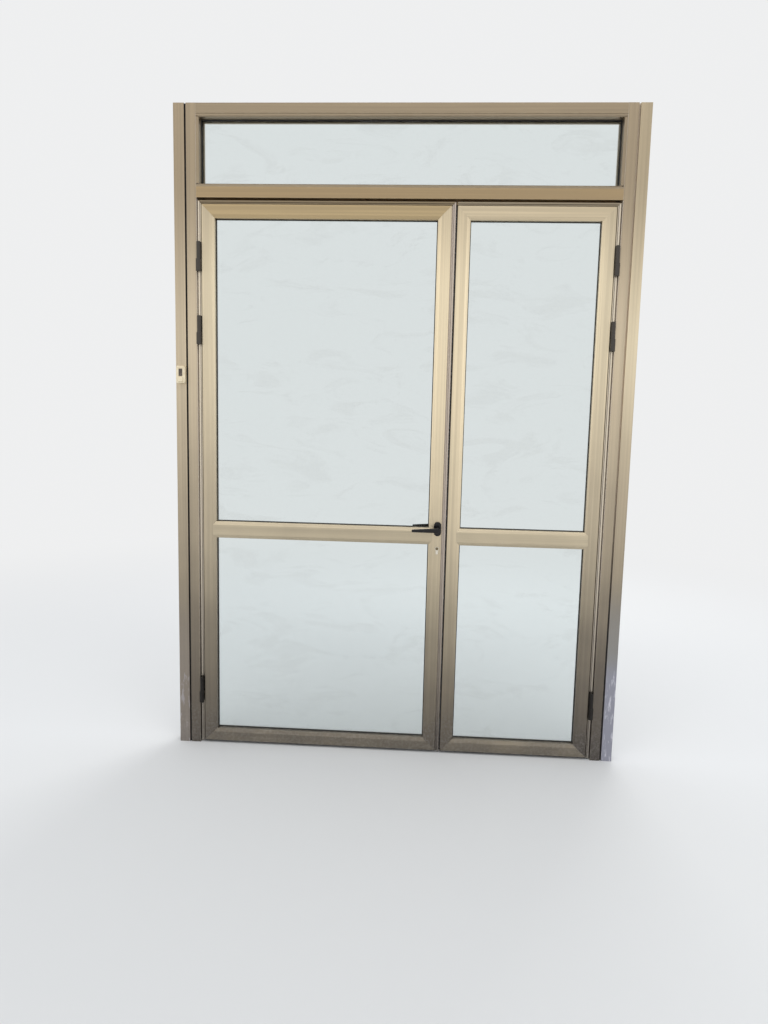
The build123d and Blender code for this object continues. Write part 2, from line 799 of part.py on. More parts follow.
def both_windows(x0, x1, play):
    """The holes of the latch and of the dead bolt."""
    low = bolt_window(bolt_z, bolt_height, bolt_thickness, x0, x1, play)
    return low + bolt_window(handle_height, latch_height, latch_thickness, x0, x1, play)


faceplate -= both_windows(case_front - 1, edge_x + 1, bolt_play)
main["right"] -= block(
    case_front - 1, edge_x + 1, plate_y0 - fit, plate_y1 + fit, plate_z0 - fit, plate_z1 + fit
)
lock_screws = []
for z in (plate_z0 + lug_length / 2, plate_z1 - lug_length / 2):
    place = Pos(edge_x, lock_y, z) * Rot(0, -90, 0)
    faceplate -= place * hinge_screw_seat
    lock_case -= place * hinge_screw_seat
    lock_screws.append(place * flat_screw(screw_head_height, lug_depth)[0])

latch_x = edge_x - flush_tip_inset
latch_length = latch_hold + latch_throw
bolt_length = bolt_hold + bolt_throw
latch_outline = [
    (latch_x - latch_length, lock_y - latch_thickness / 2),
    (latch_x - latch_tip, lock_y - latch_thickness / 2),
    (latch_x, lock_y + latch_thickness / 4),
    (latch_x, lock_y + latch_thickness / 2),
    (latch_x - latch_length, lock_y + latch_thickness / 2),
]
latch = Pos(0, 0, handle_height - latch_height / 2) * extrude(
    Polygon(*latch_outline, align=None), amount=latch_height, dir=(0, 0, 1)
)
dead_bolt = bolt_window(bolt_z, bolt_height, bolt_thickness, latch_x - bolt_length, latch_x, 0)
dead_bolt = chamfer(dead_bolt.edges().filter_by(Axis.Z).group_by(Axis.X)[-1], bolt_corner)

follower = rod_y(follower_radius, lock_x, handle_height, *case_y)
square = spindle_size / 2
hole = square + spindle_play
follower -= block(
    lock_x - hole,
    lock_x + hole,
    case_y[0] - 1,
    case_y[1] + 1,
    handle_height - hole,
    handle_height + hole,
)

# Handles: made outside, mirrored to the inside

rose_front = y_out - rose_thickness
lever_front = y_out - lever_reach


def rose_outside():
    """Oval rose with a hole for the neck of the lever and two blind screw holes."""
    outline = Pos(lock_x, handle_height) * Rot(0, 0, 90) * SlotOverall(rose_height, rose_width)
    body = plate_y(outline, rose_front, y_out)
    body = fillet(body.edges().group_by(Axis.Y)[0], rose_round)
    body -= rod_y(neck_radius + running_clearance, lock_x, handle_height, rose_front - 1, y_out + 1)
    return body


def lever_outside():
    """Lever: a round neck, an elbow and a tapering grip towards the hinge side."""
    grip_y = lever_front + lever_root_depth / 2
    neck = rod_y(neck_radius, lock_x, handle_height, grip_y, y_out - 1)
    elbow = rod_y(lever_root_height / 2, lock_x, handle_height, lever_front, lever_front + lever_root_depth)
    elbow = fillet(elbow.edges().group_by(Axis.Y)[0], lever_root_depth / 4)
    stations = [
        (0, lever_root_height, lever_root_depth),
        (lever_mid_share, lever_mid_height, (lever_root_depth + lever_tip_depth) / 2),
        (1, lever_tip_height, lever_tip_depth),
    ]
    sections = []
    for share, height, depth in stations:
        middle = (lock_x - share * lever_length, grip_y, handle_height - share * lever_droop)
        spot = Plane(middle, x_dir=(0, 1, 0), z_dir=(-1, 0, 0))
        sections.append(spot * RectangleRounded(depth, height, min(height, depth) * lever_rounding))
    grip = loft(sections)
    tip = grip.edges().group_by(Axis.X)[0]
    grip = fillet(tip, lever_tip_height / 4)
    socket = block(
        lock_x - hole,
        lock_x + hole,
        y_out - 2 - lever_socket,
        y_out,
        handle_height - hole,
        handle_height + hole,
    )
    return neck + elbow + grip - socket


outer_rose = rose_outside()
outer_lever = lever_outside()
inner_rose = mirror(outer_rose, about=Plane.XZ)
inner_lever = mirror(outer_lever, about=Plane.XZ)
spindle_end = -y_out + lever_socket
spindle = block(
    lock_x - square,
    lock_x + square,
    -spindle_end,
    spindle_end,
    handle_height - square,
    handle_height + square,
)

rose_screws = []
leaf_ways = rod_y(neck_radius + neck_play, lock_x, handle_height, y_out - 1, y_in + 1)
for way in (-1, 1):
    z = handle_height + way * rose_screw_offset
    screw_end = y_in + rose_thickness / 2
    rose_screws.append(rod_y(screw_radius, lock_x, z, -screw_end, screw_end))
    leaf_ways += rod_y(screw_radius + fit, lock_x, z, y_out - 1, y_in + 1)
    blind = rod_y(screw_radius + running_clearance, lock_x, z, -screw_end, screw_end)
    outer_rose -= blind
    inner_rose -= blind

cylinder_end = y_in + cylinder_proud
cylinder_body = plate_y(euro_outline(0), -cylinder_end, cylinder_end)
cylinder_body -= rod_y(
    plug_radius + running_clearance, lock_x, cylinder_z, -cylinder_end - 1, cylinder_end + 1
)
cam_room = cam_radius + cam_play
cylinder_body -= block(
    lock_x - cylinder_radius - 1,
    lock_x + cylinder_radius + 1,
    lock_y - cam_width / 2,
    lock_y + cam_width / 2,
    cylinder_z - cam_room,
    cylinder_z + cylinder_radius + 1,
)
leaf_ways += plate_y(euro_outline(fit), y_out - 1, y_in + 1)
main["right"] -= leaf_ways

cam_half = cam_width / 2 - fit
key_plug = rod_y(plug_radius, lock_x, cylinder_z, -cylinder_end, cylinder_end)
key_plug += rod_y(cylinder_radius - fit, lock_x, cylinder_z, lock_y - cam_half, lock_y + cam_half)
cam = block(
    lock_x - cam_thickness / 2,
    lock_x + cam_thickness / 2,
    lock_y - cam_half,
    lock_y + cam_half,
    cylinder_z - cam_radius,
    cylinder_z,
)
cam_disc = rod_y(cam_radius, lock_x, cylinder_z, lock_y - cam_half, lock_y + cam_half)
key_plug += cam & cam_disc
for y0, y1 in (
    (-cylinder_end - 1, -cylinder_end + keyway_depth),
    (cylinder_end - keyway_depth, cylinder_end + 1),
):
    key_plug -= block(
        lock_x - keyway_width / 2,
        lock_x + keyway_width / 2,
        y0,
        y1,
        cylinder_z - keyway_height / 2,
        cylinder_z + keyway_height / 2,
    )

# Strike, flush bolts and brushes of the side leaf

strike_x = side_x[0]
plate_back = strike_x + hardware_groove
strike_mid = (bolt_z + handle_height) / 2
strike = block(
    strike_x,
    plate_back,
    plate_y0,
    plate_y1,
    strike_mid - strike_height / 2,
    strike_mid + strike_height / 2,
)
windows = both_windows(strike_x - 1, plate_back + wall + 1, strike_play)
strike -= windows
side["left"] -= windows
side_screws = []
short_screw, short_seat = flat_screw(hardware_groove, hardware_groove + wall + plate_screw_tip)
for way in (-1, 1):
    z = strike_mid + way * (strike_height / 2 - hinge_screw_inset)
    place = Pos(strike_x, lock_y, z) * Rot(0, 90, 0)
    strike -= place * short_seat
    side["left"] -= place * short_seat
    side_screws.append(place * short_screw)


def flush_bolt(tip, way):
    """Rod and finger tab of a flush bolt: way is +1 for the top bolt, -1 for the bottom one."""
    tail = tip - way * flush_rod_length
    z0, z1 = sorted((tip, tail))
    rod = rod_z(flush_rod_radius, flush_x, lock_y, z0, z1)
    tip_edge = rod.edges().sort_by(Axis.Z)[-1 if way > 0 else 0]
    rod = chamfer(tip_edge, bolt_corner)
    t0, t1 = sorted((tail, tail + way * flush_tab_height))
    half = flush_tab_width / 2
    tab = block(strike_x + flush_tab_inset, flush_x, lock_y - half, lock_y + half, t0, t1)
    return rod + tab


def flush_slot(tip, way):
    """Slot that the finger tab travels in."""
    tail = tip - way * flush_rod_length
    z0, z1 = sorted((tail - way, tail + way * (flush_tab_height + flush_throw + 1)))
    half = flush_tab_width / 2 + flush_play
    slot = block(strike_x - 1, plate_back + wall + 1, lock_y - half, lock_y + half, z0, z1)
    return slot, (z0 + z1) / 2


bolt_plates = []
top_tip, bottom_tip = leaf_top - flush_tip_inset, floor_gap + flush_tip_inset
for tip, way in ((top_tip, 1), (bottom_tip, -1)):
    slot, middle = flush_slot(tip, way)
    plate = block(
        strike_x,
        plate_back,
        plate_y0,
        plate_y1,
        middle - flush_plate_height / 2,
        middle + flush_plate_height / 2,
    )
    plate -= slot
    side["left"] -= slot
    for zs in (-1, 1):
        z = middle + zs * (flush_plate_height / 2 - hinge_screw_inset)
        place = Pos(strike_x, lock_y, z) * Rot(0, 90, 0)
        plate -= place * short_seat
        side["left"] -= place * short_seat
        side_screws.append(place * short_screw)
    bolt_plates.append(plate)

rod_way = flush_rod_radius + flush_play
side["top"] -= rod_z(rod_way, flush_x, lock_y, leaf_top - wall - 1, leaf_top + 1)
side["bottom"] -= rod_z(rod_way, flush_x, lock_y, floor_gap - 1, floor_gap + wall + 1)
transom_bar -= rod_z(rod_way, flush_x, lock_y, transom_bottom - 1, transom_bottom + wall + 1)

meeting_brush_bar = block(
    strike_x - meeting_brush,
    strike_x,
    meeting_brush_y - brush_width / 2,
    meeting_brush_y + brush_width / 2,
    floor_gap + foot_shoulder,
    leaf_top - shoulder - edge_ease,
)

# Bell push

bell_x = -half_post - bell_width / 2
bell_front = y_out - bell_depth
bell = block(
    bell_x - bell_width / 2,
    bell_x + bell_width / 2,
    bell_front,
    y_out,
    bell_z - bell_height / 2,
    bell_z + bell_height / 2,
)
bell = fillet(bell.edges().filter_by(Axis.Y), bell_round)
bell = fillet(bell.edges().group_by(Axis.Y)[0], bell_edge_round)


def bell_piece(width, height, z, y0, y1, radius):
    """Rounded rectangular piece of the bell push."""
    outline = Pos(bell_x, z) * RectangleRounded(width, height, radius)
    return plate_y(outline, y0, y1)


window_z = bell_z + bell_window_rise
button_z = bell_z - bell_button_drop
window = bell_piece(
    bell_window_width,
    bell_window_height,
    window_z,
    bell_front,
    bell_front + bell_window_depth,
    bell_window_round,
)
bell -= window
button_back = bell_front + bell_button_depth
bell_button = bell_piece(
    bell_button_width,
    bell_button_height,
    button_z,
    bell_front - bell_button_proud,
    button_back,
    bell_button_round,
)
bell_button = fillet(bell_button.edges().group_by(Axis.Y)[0], bell_window_depth)
bell -= bell_piece(
    bell_button_width + 2 * bell_button_play,
    bell_button_height + 2 * bell_button_play,
    button_z,
    bell_front - 1,
    button_back + bell_travel + bell_button_play,
    bell_button_round + bell_button_play,
)

# What each file holds

nodes = {
    "left_side_post": [left_post],
    "right_side_post": [right_post],
    "left_jamb": [left_jamb],
    "right_jamb": [right_jamb],
    "transom_bar": [transom_bar],
    "head_rail": [head_rail],
    "transom_glass": [transom_glass],
    "transom_beads": transom_beads,
    "transom_gaskets": transom_gaskets,
    "frame_seals": seals,
    "frame_packers": packers + mirrored(packers),
    "frame_screws": frame_screws + mirrored(frame_screws) + frame_plate_screws
    + mirrored(frame_plate_screws),
    "frame_hinge_halves": frame_halves + mirrored(frame_halves),
    "hinge_pins": pins + mirrored(pins),
    "bell_housing": [bell],
    "bell_window": [window],
    "bell_button": [bell_button],
    "main_hinge_stile": [main["left"]],
    "main_lock_stile": [main["right"]],
    "main_top_rail": [main["top"]],
    "main_bottom_rail": [main["bottom"]],
    "main_mid_rail": [main["mid"]],
    "main_upper_glass": [main["upper_glass"]],
    "main_lower_glass": [main["lower_glass"]],
    "main_gaskets": main["gaskets"],
    "main_beads": main["beads"],
    "main_corner_cleats": main["cleats"],
    "main_hinge_halves": leaf_halves,
    "main_hinge_clamps": clamps,
    "main_screws": leaf_plate_screws + lock_screws + rose_screws,
    "main_bottom_brush": [main["brush"]],
    "lock_case": [lock_case],
    "lock_faceplate": [faceplate],
    "latch_bolt": [latch],
    "dead_bolt": [dead_bolt],
    "follower": [follower],
    "spindle": [spindle],
    "outer_lever": [outer_lever],
    "inner_lever": [inner_lever],
    "outer_rose": [outer_rose],
    "inner_rose": [inner_rose],
    "cylinder_body": [cylinder_body],
    "key_plug": [key_plug],
    "side_hinge_stile": [side["right"]],
    "side_meeting_stile": [side["left"]],
    "side_top_rail": [side["top"]],
    "side_bottom_rail": [side["bottom"]],
    "side_mid_rail": [side["mid"]],
    "side_upper_glass": [side["upper_glass"]],
    "side_lower_glass": [side["lower_glass"]],
    "side_gaskets": side["gaskets"],
    "side_beads": side["beads"],
    "side_corner_cleats": side["cleats"],
    "side_hinge_halves": mirrored(leaf_halves),
    "side_hinge_clamps": mirrored(clamps),
    "side_screws": mirrored(leaf_plate_screws) + side_screws,
    "side_hardware_plates": [strike] + bolt_plates,
    "side_brushes": [side["brush"], meeting_brush_bar],
    "top_flush_bolt": [flush_bolt(top_tip, 1)],
    "bottom_flush_bolt": [flush_bolt(bottom_tip, -1)],
}

os.makedirs("parts", exist_ok=True)
for name, solids in nodes.items():
    shape = solids[0] if len(solids) == 1 else Compound(children=list(solids))
    export_step(shape, f"parts/{name}.step")
print(len(nodes), "nodes")
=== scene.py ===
import json
import math
import random
from collections import namedtuple

import bpy
from mathutils import Matrix, Vector


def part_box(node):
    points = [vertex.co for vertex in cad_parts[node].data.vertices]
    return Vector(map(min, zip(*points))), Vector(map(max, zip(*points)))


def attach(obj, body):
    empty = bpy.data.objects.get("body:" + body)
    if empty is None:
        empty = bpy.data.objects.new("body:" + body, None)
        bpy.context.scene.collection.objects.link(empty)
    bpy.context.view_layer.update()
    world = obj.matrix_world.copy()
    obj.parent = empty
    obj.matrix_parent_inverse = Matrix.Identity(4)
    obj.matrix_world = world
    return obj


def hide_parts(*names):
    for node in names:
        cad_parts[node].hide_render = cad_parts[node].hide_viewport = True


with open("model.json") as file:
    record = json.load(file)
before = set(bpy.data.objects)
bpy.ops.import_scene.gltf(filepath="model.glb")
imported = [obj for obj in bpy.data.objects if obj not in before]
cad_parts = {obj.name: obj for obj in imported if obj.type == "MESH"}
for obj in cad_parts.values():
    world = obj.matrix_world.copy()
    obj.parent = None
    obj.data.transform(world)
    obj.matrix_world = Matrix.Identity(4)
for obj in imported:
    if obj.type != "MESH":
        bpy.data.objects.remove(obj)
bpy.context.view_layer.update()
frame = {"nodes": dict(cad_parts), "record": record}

# Places on the door, in metres, read from the frame
rose_low, rose_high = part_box("outer_rose")
HANDLE = ((rose_low.x + rose_high.x) / 2, rose_high.y, (rose_low.z + rose_high.z) / 2)
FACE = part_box("main_lock_stile")[0].y         # outer face of the leaves and the frame
CLEAR_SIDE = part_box("transom_bar")[1].x       # face of a jamb, from the middle of the door
JAMB_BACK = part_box("right_jamb")[1].x         # the joint between jamb and post starts here
POST_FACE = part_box("right_side_post")[0].x    # and ends here
LEAF_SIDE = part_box("side_hinge_stile")[1].x   # hinge edge of a leaf
LEAF_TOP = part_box("main_top_rail")[1].z
MAIN_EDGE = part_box("main_lock_stile")[1].x    # meeting edge of the main leaf
SIDE_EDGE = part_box("side_meeting_stile")[0].x

# Colours of the door metal, linear
TAN = (0.816, 0.695, 0.487, 1)            # leaves
TAN_MEETING = (0.920, 0.775, 0.536, 1)    # painted light: a lighter copy of the tan for the stiles at the middle and the top rail of the side leaf
TAN_HINGE = (0.735, 0.620, 0.436, 1)      # painted shade: a darker copy for the lower part of the stiles at the hinges
TAN_TOP = (0.670, 0.515, 0.290, 1)        # painted shade: a darker copy for the top rail of the main leaf
TAN_FRAME = (0.582, 0.484, 0.343, 1)      # jambs, posts, head and beads of the fixed light
TAN_UPPER = (0.655, 0.544, 0.386, 1)      # painted light: a lighter copy for the upper part of the jambs and the left post
TAN_TRANSOM = (0.710, 0.532, 0.307, 1)
TAN_SHELTERED = (0.117, 0.067, 0.026, 1)  # in the shade under the top
TAN_LOW = (0.102, 0.088, 0.077, 1)        # darker towards the floor, and in the streaks
TAN_LIGHT = (0.780, 0.690, 0.540, 1)      # worn edges with a painted edge highlight, and scratches

# Colours of dirt, and of painted shade and painted highlight in joints and on lips
GRIME = (0.085, 0.075, 0.066, 1)
DUST = (0.400, 0.375, 0.345, 1)
FILM_TAN = (0.270, 0.235, 0.215, 1)
FILM_GREY = (0.235, 0.230, 0.220, 1)
FILM_LILAC = (0.265, 0.267, 0.318, 1)
SMEAR_WHITE = (0.560, 0.545, 0.600, 1)
# painted shade in joints, slots and at the edges of the gap
GAP_SHADE = (0.040, 0.024, 0.012, 1)
JOINT_LIT = (0.740, 0.610, 0.460, 1)     # painted light on the joint strip on the right
# painted highlight, painted shade and mauve painted shade on the lips
LIP_BRIGHT = (0.780, 0.700, 0.600, 1)
LIP_SHADE = (0.150, 0.120, 0.090, 1)
LIP_MAUVE = (0.450, 0.385, 0.395, 1)

# Colours of the other materials
TARNISH = (0.24, 0.22, 0.20, 1)
RUBBER = (0.018, 0.018, 0.019, 1)
RUBBER_BLOOM = (0.11, 0.10, 0.09, 1)
GLASS = (0.80, 0.85, 0.845, 1)
GLASS_DUST = (0.62, 0.61, 0.58, 1)
PLUG_BRASS = (0.26, 0.21, 0.13, 1)
BRISTLE = (0.012, 0.011, 0.010, 1)
BRISTLE_DUST = (0.045, 0.040, 0.034, 1)

# Colours of the studio
PALE = (0.860, 0.865, 0.870, 1)           # the background, as the camera sees it
SKY = (0.93, 0.96, 1.0, 1)                # the light that falls in from all round
FLOOR = (0.690, 0.690, 0.685, 1)


# Node helpers

class Nodes:
    """A node tree with a short way to add nodes: a keyword sets a property, inputs sets sockets."""

    def __init__(self, tree):
        self.tree = tree
        tree.nodes.clear()

    def node(self, kind, inputs=None, **settings):
        made = self.tree.nodes.new(kind)
        for key, value in settings.items():
            setattr(made, key, value)
        for key, value in (inputs or {}).items():
            if isinstance(value, bpy.types.NodeSocket):
                self.tree.links.new(value, made.inputs[key])
            else:
                made.inputs[key].default_value = value
        return made

    def math(self, operation, a, b, clamp=False):
        made = self.node("ShaderNodeMath", {0: a, 1: b}, operation=operation, use_clamp=clamp)
        return made.outputs[0]

    def absolute(self, value):
        return self.node("ShaderNodeMath", {0: value}, operation="ABSOLUTE").outputs[0]

    def product(self, a, b):
        return self.math("MULTIPLY", a, b)

    def sum(self, a, b, clamp=False):
        return self.math("ADD", a, b, clamp)

    def mix(self, factor, a, b):
        """Surface or background a where factor is 0, b where it is 1."""
        return self.node("ShaderNodeMixShader", {0: factor, 1: a, 2: b}).outputs[0]

    def seen(self):
        """1 for camera, mirror and glass rays, 0 for the rays that light the object."""
        path = self.node("ShaderNodeLightPath")
        value = path.outputs["Is Camera Ray"]
        for key in ("Is Glossy Ray", "Is Transmission Ray"):
            value = self.math("MAXIMUM", value, path.outputs[key])
        return value


class Shader(Nodes):
    """The nodes of a new material."""

    def __init__(self, name):
        self.material = bpy.data.materials.new(name)
        self.material.use_nodes = True
        super().__init__(self.material.node_tree)
        self.coord = self.node("ShaderNodeTexCoord").outputs["Object"]
        split = self.node("ShaderNodeSeparateXYZ", {"Vector": self.coord})
        self.x, self.y, self.z = split.outputs

    def stretch(self, scale):
        """Object coordinates multiplied by scale."""
        made = self.node("ShaderNodeVectorMath", {0: self.coord, 1: scale}, operation="MULTIPLY")
        return made.outputs[0]

    def noise(self, scale, detail=3.0, rough=0.55, vector=None, distortion=0.0):
        inputs = {"Scale": scale, "Detail": detail, "Roughness": rough, "Distortion": distortion}
        inputs["Vector"] = vector or self.coord
        return self.node("ShaderNodeTexNoise", inputs).outputs["Fac"]

    def ramp(self, value, low, high, out_low=0.0, out_high=1.0):
        """Smooth step from out_low at low to out_high at high."""
        inputs = {"Value": value, "From Min": low, "From Max": high}
        inputs.update({"To Min": out_low, "To Max": out_high})
        made = self.node("ShaderNodeMapRange", inputs, interpolation_type="SMOOTHSTEP")
        return made.outputs["Result"]

    def band(self, value, start, end, soft=0.0004):
        """1 between start and end, 0 outside."""
        inside = self.ramp(value, start, start + soft)
        return self.product(inside, self.ramp(value, end - soft, end, 1.0, 0.0))

    def blend(self, factor, a, b):
        """Colour a where factor is 0, colour b where it is 1."""
        made = self.node("ShaderNodeMix", data_type="RGBA")
        for socket, value in ((made.inputs[0], factor), (made.inputs[6], a), (made.inputs[7], b)):
            if isinstance(value, bpy.types.NodeSocket):
                self.tree.links.new(value, socket)
            else:
                socket.default_value = value
        return made.outputs[2]

    def rounded(self, radius):
        """Shading normal with the sharp edges eased by radius."""
        return self.node("ShaderNodeBevel", {"Radius": radius}, samples=4).outputs["Normal"]

    def edges(self, radius):
        """1 on sharp edges, 0 on flat faces."""
        flat = self.node("ShaderNodeNewGeometry").outputs["Normal"]
        made = self.node("ShaderNodeVectorMath", {0: self.rounded(radius), 1: flat})
        made.operation = "DOT_PRODUCT"
        return self.ramp(made.outputs["Value"], 0.995, 0.88)

    def bump(self, height, distance, normal):
        inputs = {"Height": height, "Distance": distance, "Normal": normal}
        return self.node("ShaderNodeBump", inputs).outputs["Normal"]

    def near(self, spot, inner, outer):
        """1 within inner metres of the spot, 0 beyond outer."""
        made = self.node("ShaderNodeVectorMath", {0: self.coord, 1: spot}, operation="DISTANCE")
        return self.ramp(made.outputs["Value"], inner, outer, 1.0, 0.0)

    def uneven(self, cloud, reach):
        """Height over the floor, moved up and down by the clouds."""
        return self.sum(self.z, self.product(self.math("SUBTRACT", cloud, 0.5), reach))

    def principled(self, **sockets):
        """Principled surface: spaces in socket names are written as underscores."""
        inputs = {key.replace("_", " "): value for key, value in sockets.items()}
        return self.node("ShaderNodeBsdfPrincipled", inputs).outputs[0]

    def output(self, surface):
        """The finished material with this surface."""
        self.node("ShaderNodeOutputMaterial", {"Surface": surface})
        return self.material

    def finish(self, **sockets):
        """The finished material with one principled surface."""
        return self.output(self.principled(**sockets))


# Looks of the door metal: colours, heights in metres and strengths from 0 to 1

Strip = namedtuple("Strip", "along start end front tone low_share share matt", defaults=(0,))
Film = namedtuple("Film", "low_tone high_tone top share smear_top smear_share")
Look = namedtuple("Look", "paint upper soiling shelter film strips scuffed")

# Strips of painted shade and painted highlight: their edges on x or z, their front on y, their strength low
# and high up
LIP_FRONT = FACE + 0.0030     # in front of this is the face of the leaf, behind it the lip
STRIP_BACK = 0.0
STRIP_CHANGE = (0.0, 1.1)     # between these heights the low strength turns into the other
# painted highlight on the inner edge of a jamb, made matt
JAMB_EDGE = Strip("x", CLEAR_SIDE - 0.0007, CLEAR_SIDE + 0.0007, FACE - 0.0005, LIP_BRIGHT, 0.10, 0.70, 1.2)
# painted shade in the joint between jamb and post; none on the right
LEFT_JOINT = Strip("x", JAMB_BACK - 0.0006, POST_FACE + 0.0006, FACE - 0.0060, GAP_SHADE, 0.92, 0.92)
RIGHT_JOINT = LEFT_JOINT._replace(share=0.0)
# painted highlight on the lip at the hinge edge, and painted shade in the slot beside it
HINGE_LIP = Strip("x", LEAF_SIDE - 0.0126, LEAF_SIDE + 0.0004, LIP_FRONT, LIP_BRIGHT, 0.20, 0.55)
HINGE_CORNER = Strip("x", LEAF_SIDE - 0.0184, LEAF_SIDE - 0.0126, LIP_FRONT, GAP_SHADE, 0.60, 0.60)
# painted shade on the lip under the top
TOP_LIP = Strip("z", LEAF_TOP - 0.0185, LEAF_TOP + 0.0010, LIP_FRONT, LIP_SHADE, 0.65, 0.65)
# mauve painted shade on the recessed lip at the meeting edge
LOCK_LIP = Strip("x", MAIN_EDGE - 0.0175, MAIN_EDGE + 0.0005, LIP_FRONT, LIP_MAUVE, 0.10, 0.55)
# painted shade along both edges of the meeting gap
LOCK_EDGE = Strip("x", MAIN_EDGE - 0.0015, MAIN_EDGE + 0.0005, LIP_FRONT, GAP_SHADE, 0.90, 0.90)
MEETING_EDGE = Strip("x", SIDE_EDGE - 0.0005, SIDE_EDGE + 0.0017, FACE - 0.0010, GAP_SHADE, 0.90, 0.90)
HINGE_SIDE = (HINGE_LIP, HINGE_CORNER)

# Film near the floor, with white smears on it
LEFT_FILM = Film(FILM_TAN, FILM_TAN, 0.80, 0.45, 0.46, 0.30)
RIGHT_FILM = Film(FILM_LILAC, FILM_GREY, 0.90, 0.92, 0.48, 0.85)

# The shade under the top: where it starts and its share at the head
FRAME_SHELTER = (1.75, 0.50)
LEAF_SHELTER = (1.95, 0.40)

# The paint and upper colours below are lit and shaded copies of one tan: painted light and painted shade
PLAIN = Look(TAN, None, 0.93, LEAF_SHELTER, None, (), False)
FRAME_PLAIN = PLAIN._replace(paint=TAN_FRAME, shelter=FRAME_SHELTER)
JAMB = FRAME_PLAIN._replace(upper=TAN_UPPER)
POST = JAMB._replace(soiling=0.80)
HINGE_STILE = PLAIN._replace(paint=TAN_HINGE, upper=TAN, strips=HINGE_SIDE)
LOOKS = {
    "left_jamb": JAMB._replace(strips=(LEFT_JOINT, JAMB_EDGE)),
    "right_jamb": JAMB._replace(soiling=1.0, strips=(RIGHT_JOINT, JAMB_EDGE)),
    "left_side_post": POST._replace(film=LEFT_FILM, strips=(LEFT_JOINT,)),
    "right_side_post": POST._replace(upper=TAN, film=RIGHT_FILM, strips=(RIGHT_JOINT,)),
    "head_rail": FRAME_PLAIN,
    "transom_beads": FRAME_PLAIN,
    "transom_bar": FRAME_PLAIN._replace(paint=TAN_TRANSOM),
    "main_hinge_stile": HINGE_STILE,
    "side_hinge_stile": HINGE_STILE._replace(soiling=1.0),
    "main_lock_stile": PLAIN._replace(paint=TAN_MEETING, strips=(LOCK_LIP, LOCK_EDGE), scuffed=True),
    "side_meeting_stile": PLAIN._replace(paint=TAN_MEETING, strips=(MEETING_EDGE,)),
    "main_top_rail": PLAIN._replace(paint=TAN_TOP, strips=(TOP_LIP,)),
    "side_top_rail": PLAIN._replace(paint=TAN_MEETING, strips=(TOP_LIP,)),
    "main_bottom_rail": PLAIN._replace(soiling=0.84),
    "side_bottom_rail": PLAIN._replace(soiling=0.80),
}

# Grain of the extrusions on x, y and z: fine across the piece, long along it
UPRIGHT = (700, 700, 5)
LEVEL = (5, 700, 700)
MIXED = (4, 700, 4)
STREAK_WIDTH = 7              # streaks are this many times as wide as the grain
SMEAR_GRAIN = (75, 75, 13)
SCRATCH_GRAIN = (260, 260, 900)

# Layers on the door metal
TONE_CHANGE = (1.1, 1.8)      # the upper colour, a painted-light copy, comes in between these heights
LOW_DARKENING = (-0.10, 1.70)        # the darkening towards the floor thins out between these
SHELTER_TOP = 2.45            # the shade under the top is full here
STREAK_SHARE = 0.16
DUST_TOP = 0.32
DUST_SHARE = 0.16
FOOT_TOP = 0.16               # grime at the very foot
FOOT_SHARE = 0.60
WORN_AND_LIT_SHARE = 0.55
SCRATCH_SHARE = 0.70
DIRT_UNEVEN = 0.50            # how far the clouds move the edges of the darkening and of the dirt up and down
FILM_UNEVEN = 0.25
FILM_CHANGE = (0.34, 0.50)    # between these heights the film turns from its low to its high tone
FILM_FULL = 0.45              # up to this share of its height the film has its full strength
SMEARS_FULL = 0.6             # and the smears up to this share of theirs
SMEAR_MORE = 0.06             # added to the noise where the smears are at their most
SMEAR_LESS = -0.16            # and above their top
WASHED = (0.05, 0.28)         # fewer smears below the first height, as many as ever from the second on
WASHED_LESS = -0.05           # added to the noise there
SCRATCHED = (0.03, 0.10)      # scratches are full and gone at these distances from the handle
CLEAN_METALLIC = 0.82
DULL_METALLIC = 0.05


def grain_of(node):
    """The way that the extrusion lines of a piece run."""
    if "beads" in node:
        return MIXED
    return UPRIGHT if any(word in node for word in ("jamb", "post", "stile")) else LEVEL


def coat(m, look, rise, grain):
    """The paint of a piece: another tone higher up as painted light, darker near the floor, painted shade
    near the top.
    """
    streaks = m.noise(1.0, detail=2.0, rough=0.5, vector=m.stretch([size / STREAK_WIDTH for size in grain]))
    color = m.blend(m.ramp(m.z, *TONE_CHANGE), look.paint, look.upper) if look.upper else look.paint
    color = m.blend(m.ramp(rise, *LOW_DARKENING, look.soiling, 0.0), color, TAN_LOW)
    start, share = look.shelter
    color = m.blend(m.ramp(m.z, start, SHELTER_TOP, 0.0, share), color, TAN_SHELTERED)
    return m.blend(m.ramp(streaks, 0.35, 0.65, 0.0, STREAK_SHARE), color, TAN_LOW)


def weather(m, color, rise, cloud):
    """Dust and grime at the foot, and rubbed edges brightened as a painted highlight: the new colour and
    how dull the metal gets.
    """
    spots = m.noise(85.0, detail=3.0, rough=0.7)
    dust = m.product(m.ramp(rise, 0.0, DUST_TOP, 1.0, 0.0), m.ramp(spots, 0.42, 0.62))
    color = m.blend(m.product(dust, DUST_SHARE), color, DUST)
    foot = m.product(m.ramp(rise, 0.0, FOOT_TOP, 1.0, 0.0), m.ramp(cloud, 0.35, 0.6))
    color = m.blend(m.product(foot, FOOT_SHARE), color, GRIME)
    # worn edges, lightened as a painted edge highlight
    wear_and_highlight = m.product(m.edges(0.0012), m.ramp(m.noise(28.0, detail=3.0), 0.40, 0.62))
    color = m.blend(m.product(wear_and_highlight, WORN_AND_LIT_SHARE), color, TAN_LIGHT)
    return color, m.sum(m.product(dust, 0.5), m.product(foot, 0.3))


